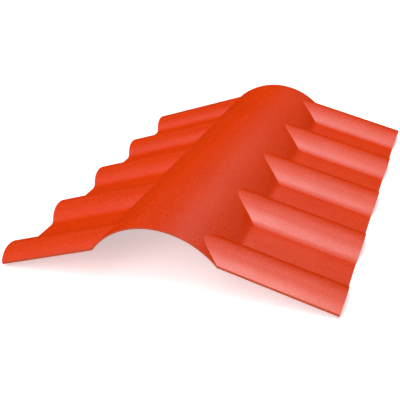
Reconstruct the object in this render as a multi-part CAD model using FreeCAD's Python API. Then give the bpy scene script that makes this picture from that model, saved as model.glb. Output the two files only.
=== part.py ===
import FreeCAD, Part
import math
import os

# Roof ridge cap, moulded in one piece of thin plastic sheet.
# A smooth round crown runs along the ridge, and a corrugated wing falls away on each side of it:
# round rolls run down the slope, with flat pans between them.
# Millimetres and degrees. The ridge lies along Y, the wings fall towards -X and +X, and +Z is up.
# The origin is on the floor under the middle of the crown: the cap lies on the lower edges of its wings.

# Rolls and pans of the wings, measured on the upper surface
roll_pitch = 160.0          # from crest to crest, to suit the roof sheets under the cap
roll_count = 5              # rolls on each wing
roll_height = 24.5          # from a pan up to a crest
roll_radius = 45.0          # round back of a roll
roll_foot_radius = 15.0     # hollow round where a roll runs out into a pan
end_overhang = 35.0         # from the first and the last crest to the ends of the cap

# Wings
wing_slope = 16.4           # fall of the wings below the level
wing_length = 294.5         # down the slope, from the line where the crests of both wings would meet

# Crown
crown_radius = 131.0        # round back of the crown
crown_rise = 0.5            # top of the crown above the line where the crests of both wings would meet
crown_foot_radius = 20.0    # hollow round where the side of the crown runs out into the pans

# Sheet
wall = 2.5                  # thickness, the same all over

slope = math.radians(wing_slope)
cap_length = (roll_count - 1) * roll_pitch + 2 * end_overhang
body_length = roll_count * roll_pitch
crest_line_height = wing_length * math.sin(slope) + (roll_height + wall) * math.cos(slope)

# Slope of a roll's flank, where its back meets the hollow round, and half of the roll's width on the pan
flank_angle = math.acos(1 - roll_height / (roll_radius + roll_foot_radius))
roll_half_width = (roll_radius + roll_foot_radius) * math.sin(flank_angle)

# Axis of the crown, and of the hollow round at its foot, as measured down the slope and square to it
crown_drop = crown_radius - crown_rise
crown_down = crown_drop * math.sin(slope)
crown_up = -crown_drop * math.cos(slope)
foot_up = crown_foot_radius - roll_height
foot_angle = math.acos((foot_up - crown_up) / (crown_radius + crown_foot_radius))
foot_down = crown_down + (crown_radius + crown_foot_radius) * math.sin(foot_angle)

# The sheet lies between two solid bodies, which reach further than the cap and are trimmed to it
trim_margin = 2 * wall
body_depth = crown_radius + 2 * roll_radius


def on_wing(down, up, along=0.0):
    """A point of the right wing: down the slope and square to it from the crest line, and along the ridge."""
    x = down * math.cos(slope) + up * math.sin(slope)
    z = crest_line_height - down * math.sin(slope) + up * math.cos(slope)
    return FreeCAD.Vector(x, along, z)


def mirrored(point):
    """The same point on the left wing."""
    return FreeCAD.Vector(-point.x, point.y, point.z)


def line(start, end):
    """A straight edge."""
    return Part.LineSegment(start, end).toShape()


def arc(start, middle, end):
    """A round edge through three points."""
    return Part.Arc(start, middle, end).toShape()


def crown_foot_point(depth, angle):
    """A point of the hollow round at the foot of the crown, at an angle from the pan's side towards the crown's."""
    radius = crown_foot_radius + depth
    return on_wing(foot_down - radius * math.sin(angle), foot_up - radius * math.cos(angle))


def arch_body(depth, wing_reach):
    """Crown and pans, without the rolls, as one bar along the ridge, at a depth under the upper surface."""
    right_low = on_wing(wing_reach, -body_depth - depth)
    right_edge = on_wing(wing_reach, -roll_height - depth)
    pan_start = crown_foot_point(depth, 0)
    foot_middle = crown_foot_point(depth, foot_angle / 2)
    foot_end = crown_foot_point(depth, foot_angle)
    crown_top = FreeCAD.Vector(0, 0, crest_line_height + crown_rise - depth)
    section = [
        line(right_low, right_edge),
        line(right_edge, pan_start),
        arc(pan_start, foot_middle, foot_end),
        arc(foot_end, crown_top, mirrored(foot_end)),
        arc(mirrored(foot_end), mirrored(foot_middle), mirrored(pan_start)),
        line(mirrored(pan_start), mirrored(right_edge)),
        line(mirrored(right_edge), mirrored(right_low)),
        line(mirrored(right_low), right_low),
    ]
    bar = Part.Face(Part.Wire(section)).extrude(FreeCAD.Vector(0, body_length, 0))
    bar.translate(FreeCAD.Vector(0, -body_length / 2, 0))
    return bar


def roll_back_point(depth, crest, angle):
    """A point of a roll's round back, at an angle from its crest."""
    radius = roll_radius - depth
    return on_wing(crown_down, radius * math.cos(angle) - roll_radius, crest + radius * math.sin(angle))


def roll_foot_point(depth, crest, side, angle):
    """A point of the hollow round at one side of a roll, at an angle from the pan's side towards the roll's."""
    radius = roll_foot_radius + depth
    up = roll_foot_radius - roll_height - radius * math.cos(angle)
    return on_wing(crown_down, up, crest + side * (roll_half_width - radius * math.sin(angle)))


def roll_edges(depth, crest):
    """One roll in a section across the wing, from pan to pan: hollow round, round back, hollow round."""
    near_foot = [roll_foot_point(depth, crest, -1, angle) for angle in (0, flank_angle / 2, flank_angle)]
    back = [roll_back_point(depth, crest, angle) for angle in (-flank_angle, 0, flank_angle)]
    far_foot = [roll_foot_point(depth, crest, 1, angle) for angle in (flank_angle, flank_angle / 2, 0)]
    return [arc(*near_foot), arc(*back), arc(*far_foot)]


def wing_body(depth, wing_reach):
    """Rolls and pans of the right wing as one bar down the slope, from inside the crown to the lower edge."""
    near_low = on_wing(crown_down, -body_depth - depth, -body_length / 2)
    near_pan = on_wing(crown_down, -roll_height - depth, -body_length / 2)
    far_pan = on_wing(crown_down, -roll_height - depth, body_length / 2)
    far_low = on_wing(crown_down, -body_depth - depth, body_length / 2)
    section = [line(near_low, near_pan)]
    pan_start = near_pan
    for number in range(roll_count):
        crest = (number - (roll_count - 1) / 2) * roll_pitch
        section.append(line(pan_start, roll_foot_point(depth, crest, -1, 0)))
        section += roll_edges(depth, crest)
        pan_start = roll_foot_point(depth, crest, 1, 0)
    section += [line(pan_start, far_pan), line(far_pan, far_low), line(far_low, near_low)]
    return Part.Face(Part.Wire(section)).extrude(on_wing(wing_reach, 0) - on_wing(crown_down, 0))


def ridge_body(depth, wing_reach):
    """Crown, pans and rolls as one solid, at a depth under the upper surface."""
    right_wing = wing_body(depth, wing_reach)
    left_wing = right_wing.mirror(FreeCAD.Vector(0, 0, 0), FreeCAD.Vector(1, 0, 0))
    return arch_body(depth, wing_reach).fuse([right_wing, left_wing]).removeSplitter()


def make_ridge_cap():
    """The sheet between the upper body and the lower one, cut square at both ends of the ridge."""
    upper_body = ridge_body(0, wing_length)
    lower_body = ridge_body(wall, wing_length + trim_margin)
    reach = 2 * wing_length
    corner = FreeCAD.Vector(-reach, -cap_length / 2, -reach)
    cap_space = Part.makeBox(2 * reach, cap_length, 2 * reach, corner)
    return upper_body.common(cap_space).cut(lower_body)


os.makedirs("parts", exist_ok=True)
ridge_cap = make_ridge_cap()
ridge_cap.exportStep("parts/ridge_cap.step")
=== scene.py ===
import math

import bpy
from mathutils import Matrix, Vector

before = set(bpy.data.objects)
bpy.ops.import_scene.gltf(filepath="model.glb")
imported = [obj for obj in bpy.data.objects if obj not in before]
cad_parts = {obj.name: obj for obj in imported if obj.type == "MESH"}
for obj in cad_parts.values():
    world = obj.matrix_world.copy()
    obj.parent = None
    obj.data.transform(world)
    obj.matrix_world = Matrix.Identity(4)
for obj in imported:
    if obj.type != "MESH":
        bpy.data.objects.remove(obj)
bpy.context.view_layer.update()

# Roof ridge cap of orange-red moulded plastic, on a white studio floor.
# Metres, degrees and linear colours, where no comment gives another unit.

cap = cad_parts["ridge_cap"]

# Camera: the point that it looks at, where it stands round that point, and its lens
camera_target = (0.0181, -0.1975, 0.0810)
camera_azimuth = 22.42           # from the front towards the right wing
camera_elevation = 26.03
camera_distance = 1.1256
camera_roll = -4.19
image_side = 400                 # pixels
focal_length = 683.7             # pixels
sensor_side = 36.0               # millimetres

# Soft lights, each with its place round the cap, the size of its face and the radiance of that face
soft_lights = {
    "front": dict(elevation=55, azimuth=0, distance=8.0, width=3.2, height=10.0, radiance=5.95),
    "back_right": dict(elevation=64, azimuth=140, distance=2.4, width=0.96, height=0.96, radiance=4.2),
    "rear": dict(elevation=36, azimuth=178, distance=6.0, width=2.4, height=2.4, radiance=2.3),
    "low_front": dict(elevation=18, azimuth=-25, distance=6.0, width=2.4, height=2.4, radiance=2.4),
    "left": dict(elevation=45, azimuth=-75, distance=6.0, width=2.4, height=2.4, radiance=0.8),
}

# White background: a floor whose glow rises away from the cap, and a wall that only gloss shows
white = (1, 1, 1, 1)
floor_side = 60.0
floor_colour = (0.9, 0.9, 0.9, 1)
floor_roughness = 0.9
glow_distances = (1.5, 4.0)      # where the glow starts to rise, and where it is full
glow_levels = (0.5, 1.0)
wall_heights = (0.2, 0.3)        # sines of the elevations where the wall starts to fade and where it ends

# Colours of the plastic
plain_colour = (0.79, 0.051, 0.0022, 1)
clouded_colour = (0.75, 0.045, 0.0018, 1)
dark_speck_colour = (0.71, 0.018, 0.0001, 1)
pale_speck_colour = (0.85, 0.084, 0.0240, 1)
# Painted shade: the trimmed faces are drawn in this darker red-brown, as if in shade
trimmed_painted_shade_colour = (0.55, 0.060, 0.0120, 1)

# Marks in the plastic: the size of each, and the values of its noise where it starts and where it is full
cloud_size = 0.12
cloud_noise = (0.35, 0.7)
speck_size = 0.0030
dark_speck_noise = (0.5, 0.25)
pale_speck_noise = (0.5, 0.75)
speck_strength = 0.7             # share of its colour that a full speck shows
patch_size = cloud_size / 4
patch_noise = (0.3, 0.7)
stipple_size = 0.0028
stipple_height = 0.00008

# Gloss of the plastic
refractive_index = 1.62
patch_roughness = (0.43, 0.51)   # the least and the most, from patch to patch
trimmed_roughness = 0.85
gloss_end = 0.72                 # where it has faded out, from 0 seen square on to 1 seen edge on
gloss_fall = 2.0                 # power of the fade

# Trimmed faces look along the ridge or out to a side: the part of their normal that does so, where a face
# starts to count as trimmed and where it fully counts
trimmed_lean = (0.88, 0.94)


def direction_from(elevation, azimuth):
    """The way from the cap to a place at an elevation and at an azimuth from the front."""
    high = math.radians(elevation)
    turn = math.radians(azimuth)
    return Vector((
        math.cos(high) * math.sin(turn),
        -math.cos(high) * math.cos(turn),
        math.sin(high),
    ))


def add_camera():
    """The camera at the photograph's viewing angle."""
    turn = math.radians(camera_azimuth)
    roll = math.radians(camera_roll)
    back = direction_from(camera_elevation, camera_azimuth)
    level_right = Vector((math.cos(turn), math.sin(turn), 0))
    level_up = back.cross(level_right)
    right = level_right * math.cos(roll) + level_up * math.sin(roll)
    up = level_up * math.cos(roll) - level_right * math.sin(roll)
    stand = Matrix.Translation(Vector(camera_target) + back * camera_distance)
    facing = Matrix((right, up, back)).transposed().to_4x4()
    data = bpy.data.cameras.new("camera")
    data.sensor_width = sensor_side
    data.lens = focal_length / image_side * sensor_side
    camera = bpy.data.objects.new("camera", data)
    camera.matrix_world = stand @ facing
    bpy.context.collection.objects.link(camera)
    bpy.context.scene.camera = camera


def add_soft_light(name, elevation, azimuth, distance, width, height, radiance):
    """A rectangular soft light with an even face, turned to the cap."""
    direction = direction_from(elevation, azimuth)
    data = bpy.data.lights.new(name, "AREA")
    data.shape = "RECTANGLE"
    data.size = width
    data.size_y = height
    data.energy = radiance * math.pi * width * height
    light = bpy.data.objects.new(name, data)
    light.location = direction * distance
    light.rotation_euler = (-direction).to_track_quat("-Z", "Y").to_euler()
    bpy.context.collection.objects.link(light)


def add_math(tree, operation, first, second):
    """One step of arithmetic on two values, each an output or a plain number."""
    node = tree.nodes.new("ShaderNodeMath")
    node.operation = operation
    for socket, value in zip(node.inputs, (first, second)):
        if isinstance(value, (int, float)):
            socket.default_value = value
        else:
            tree.links.new(value, socket)
    return node.outputs[0]


def add_range(tree, value, limits, results):
    """A value carried over from one range to another, and kept between the ends of the second."""
    node = tree.nodes.new("ShaderNodeMapRange")
    for name, number in zip(("From Min", "From Max", "To Min", "To Max"), (*limits, *results)):
        node.inputs[name].default_value = number
    tree.links.new(value, node.inputs["Value"])
    return node.outputs[0]


def add_noise(tree, place, size, detail):
    """Noise in the cap's own space, with grains of about this size."""
    node = tree.nodes.new("ShaderNodeTexNoise")
    node.inputs["Scale"].default_value = 1 / size
    node.inputs["Detail"].default_value = detail
    tree.links.new(place.outputs["Object"], node.inputs["Vector"])
    return node.outputs["Fac"]


def add_mix(tree, share, first, second):
    """Two colours mixed by a share of the second; each is an output or a plain colour."""
    node = tree.nodes.new("ShaderNodeMix")
    node.data_type = "RGBA"
    tree.links.new(share, node.inputs["Factor"])
    # The node has sockets for other kinds of data too; inputs 6 and 7 and output 2 are its colours
    for socket, colour in zip((node.inputs[6], node.inputs[7]), (first, second)):
        if isinstance(colour, tuple):
            socket.default_value = colour
        else:
            tree.links.new(colour, socket)
    return node.outputs[2]


def add_mirrored_rays(tree, paths):
    """One for the rays that see the background in gloss or through glass, and none for the others."""
    return add_math(
        tree, "MAXIMUM", paths.outputs["Is Glossy Ray"], paths.outputs["Is Transmission Ray"])


def add_world():
    """A dark room that the camera sees as white, and that gloss shows as a white wall along the horizon."""
    world = bpy.data.worlds.new("studio")
    bpy.context.scene.world = world
    world.use_nodes = True
    tree = world.node_tree
    direction = tree.nodes.new("ShaderNodeTexCoord")
    split = tree.nodes.new("ShaderNodeSeparateXYZ")
    tree.links.new(direction.outputs["Generated"], split.inputs[0])
    wall = add_range(tree, split.outputs["Z"], wall_heights, (1, 0))
    paths = tree.nodes.new("ShaderNodeLightPath")
    mirrored_wall = add_math(tree, "MULTIPLY", wall, add_mirrored_rays(tree, paths))
    strength = add_math(tree, "MAXIMUM", paths.outputs["Is Camera Ray"], mirrored_wall)
    background = tree.nodes["Background"]
    background.inputs["Color"].default_value = white
    tree.links.new(strength, background.inputs["Strength"])


def floor_material():
    """A dull white that takes the cap's shadow; a glow of its own brings it up to the white of the room."""
    material = bpy.data.materials.new("floor")
    material.use_nodes = True
    tree = material.node_tree
    shader = tree.nodes["Principled BSDF"]
    shader.inputs["Base Color"].default_value = floor_colour
    shader.inputs["Roughness"].default_value = floor_roughness
    shader.inputs["Specular IOR Level"].default_value = 0
    shader.inputs["Emission Color"].default_value = white
    place = tree.nodes.new("ShaderNodeTexCoord")
    distance = tree.nodes.new("ShaderNodeVectorMath")
    distance.operation = "LENGTH"
    tree.links.new(place.outputs["Object"], distance.inputs[0])
    glow = add_range(tree, distance.outputs["Value"], glow_distances, glow_levels)
    paths = tree.nodes.new("ShaderNodeLightPath")
    seen = add_math(tree, "MAXIMUM", paths.outputs["Is Camera Ray"], add_mirrored_rays(tree, paths))
    seen_glow = add_math(tree, "MULTIPLY", glow, seen)
    tree.links.new(seen_glow, shader.inputs["Emission Strength"])
    return material


def add_floor():
    """A wide white floor under the cap."""
    bpy.ops.mesh.primitive_plane_add(size=floor_side)
    floor = bpy.context.object
    floor.name = "floor"
    floor.data.materials.append(floor_material())


def add_trimmed_share(tree, place):
    """One on the narrow faces where the sheet was trimmed, at its ends and lower edges, else none."""
    lean = tree.nodes.new("ShaderNodeVectorMath")
    lean.operation = "ABSOLUTE"
    tree.links.new(place.outputs["Normal"], lean.inputs[0])
    split = tree.nodes.new("ShaderNodeSeparateXYZ")
    tree.links.new(lean.outputs[0], split.inputs[0])
    most = add_math(tree, "MAXIMUM", split.outputs["X"], split.outputs["Y"])
    return add_range(tree, most, trimmed_lean, (0, 1))


def add_plastic_colour(tree, place, trimmed):
    """Orange-red, softly clouded, with fine dark and pale specks, and painted shade that darkens the
    trimmed faces.
    """
    clouds = add_range(tree, add_noise(tree, place, cloud_size, detail=4), cloud_noise, (0, 1))
    speckle = add_noise(tree, place, speck_size, detail=2)
    dark_specks = add_range(tree, speckle, dark_speck_noise, (0, speck_strength))
    pale_specks = add_range(tree, speckle, pale_speck_noise, (0, speck_strength))
    colour = add_mix(tree, clouds, plain_colour, clouded_colour)
    colour = add_mix(tree, dark_specks, colour, dark_speck_colour)
    colour = add_mix(tree, pale_specks, colour, pale_speck_colour)
    # Painted shade on the trimmed faces: they take the darker colour
    return add_mix(tree, trimmed, colour, trimmed_painted_shade_colour)


def add_plastic_roughness(tree, place, trimmed):
    """Satin, a little uneven from patch to patch, and dull where it was trimmed."""
    patches = add_range(tree, add_noise(tree, place, patch_size, detail=3), patch_noise, patch_roughness)
    return add_math(tree, "MAXIMUM", patches, add_math(tree, "MULTIPLY", trimmed, trimmed_roughness))


def add_plastic_gloss(tree):
    """Gloss that is full where the surface is seen square on and fades out towards a glancing view."""
    glancing = tree.nodes.new("ShaderNodeLayerWeight")
    fade = add_range(tree, glancing.outputs["Facing"], (0, gloss_end), (1, 0))
    return add_math(tree, "POWER", fade, gloss_fall)


def add_stipple(tree, place):
    """The fine stipple of the mould, as a bump."""
    bump = tree.nodes.new("ShaderNodeBump")
    bump.inputs["Distance"].default_value = stipple_height
    tree.links.new(add_noise(tree, place, stipple_size, detail=2), bump.inputs["Height"])
    return bump.outputs["Normal"]


def plastic_material():
    """Orange-red moulded plastic with a satin face, and dull trimmed edges darkened with painted shade."""
    material = bpy.data.materials.new("orange_red_plastic")
    material.use_nodes = True
    tree = material.node_tree
    shader = tree.nodes["Principled BSDF"]
    shader.inputs["IOR"].default_value = refractive_index
    place = tree.nodes.new("ShaderNodeTexCoord")
    trimmed = add_trimmed_share(tree, place)
    tree.links.new(add_plastic_colour(tree, place, trimmed), shader.inputs["Base Color"])
    tree.links.new(add_plastic_roughness(tree, place, trimmed), shader.inputs["Roughness"])
    tree.links.new(add_plastic_gloss(tree), shader.inputs["Specular IOR Level"])
    tree.links.new(add_stipple(tree, place), shader.inputs["Normal"])
    return material


cap.data.materials.clear()
cap.data.materials.append(plastic_material())

add_camera()
add_world()
for name, placing in soft_lights.items():
    add_soft_light(name, **placing)
add_floor()
bpy.context.scene.view_settings.view_transform = "Standard"
